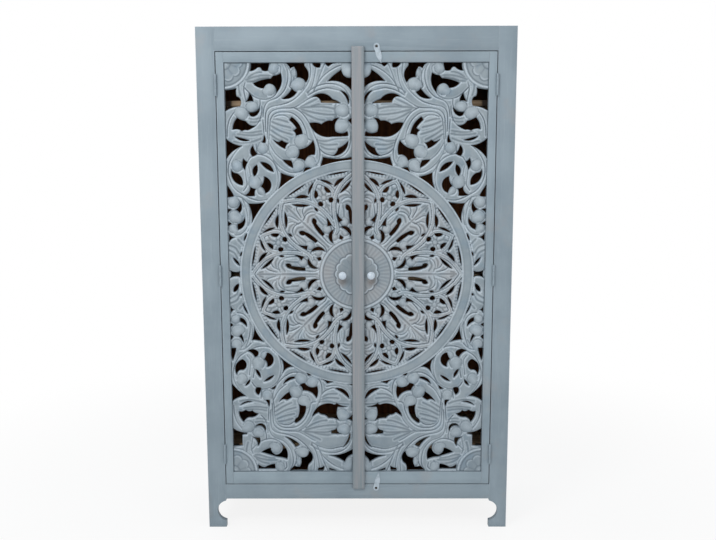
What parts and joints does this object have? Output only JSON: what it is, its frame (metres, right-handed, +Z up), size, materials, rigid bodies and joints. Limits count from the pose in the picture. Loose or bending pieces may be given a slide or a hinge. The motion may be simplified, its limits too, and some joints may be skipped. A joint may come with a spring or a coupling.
{
  "type": "storage cabinet",
  "caption": "Tall painted wooden cabinet with pierced, carved medallion doors on butt hinges, turned knobs, turn buttons, a cover strip, shelves and scooped feet.",
  "frame": {"origin": "centre of the bounding box at floor level, under the middle of the cabinet", "axes": "+X to the right seen from the front, +Y from the doors towards the back, +Z up"},
  "size_m": [1.1, 0.425, 1.8],
  "materials": {
    "painted_wood": "worn slate blue-grey paint, satin to matt, pale on raised edges",
    "bare_wood": "unpainted softwood, matt",
    "painted_iron": "iron under the same slate paint",
    "dark_steel": "dull dark steel"
  },
  "bodies": {
    "carcass": {"back_panel": "bare_wood", "bottom_panel": "bare_wood", "foot_blocks": "bare_wood", "frame_bottom_rail": "painted_wood", "frame_top_rail": "painted_wood", "front_side_feet": "painted_wood", "left_frame_stile": "painted_wood", "left_hinge_frame_leaves": "painted_iron", "left_side_panel": "painted_wood", "lower_shelf": "bare_wood", "lower_shelf_cleats": "bare_wood", "middle_shelf": "bare_wood", "middle_shelf_cleats": "bare_wood", "rear_side_feet": "painted_wood", "right_frame_stile": "painted_wood", "right_hinge_frame_leaves": "painted_iron", "right_side_panel": "painted_wood", "top_panel": "painted_wood", "turn_button_screws": "dark_steel", "upper_shelf": "bare_wood", "upper_shelf_cleats": "bare_wood"},
    "left_door": {"left_carved_panel": "painted_wood", "left_door_bottom_rail": "painted_wood", "left_door_meeting_stile": "painted_wood", "left_door_outer_stile": "painted_wood", "left_door_top_rail": "painted_wood", "left_hinge_door_leaves": "painted_iron", "left_knob": "painted_wood", "left_knob_bolt": "dark_steel"},
    "right_door": {"right_carved_panel": "painted_wood", "right_door_bottom_rail": "painted_wood", "right_door_meeting_stile": "painted_wood", "right_door_outer_stile": "painted_wood", "right_door_top_rail": "painted_wood", "right_hinge_door_leaves": "painted_iron", "right_knob": "painted_wood", "right_knob_bolt": "dark_steel", "cover_strip": "painted_wood"},
    "top_turn_button": {"top_turn_button": "painted_iron"},
    "bottom_turn_button": {"bottom_turn_button": "painted_iron"}
  },
  "joints": [
    {"name": "left_door_hinge", "type": "hinge", "parent": "carcass", "child": "left_door", "pos_m": [-0.4845, -0.1918, 0.9], "axis": [0, 0, -1], "range_deg": [0, 175]},
    {"name": "right_door_hinge", "type": "hinge", "parent": "carcass", "child": "right_door", "pos_m": [0.4845, -0.1918, 0.9], "axis": [0, 0, 1], "range_deg": [0, 175]},
    {"name": "top_turn_button_pivot", "type": "hinge", "parent": "carcass", "child": "top_turn_button", "pos_m": [0.069, -0.18905, 1.7335], "axis": [0, -1, 0], "range_deg": [-50, 230]},
    {"name": "bottom_turn_button_pivot", "type": "hinge", "parent": "carcass", "child": "bottom_turn_button", "pos_m": [0.069, -0.18905, 0.1525], "axis": [0, 1, 0], "range_deg": [-45, 230]}
  ]
}
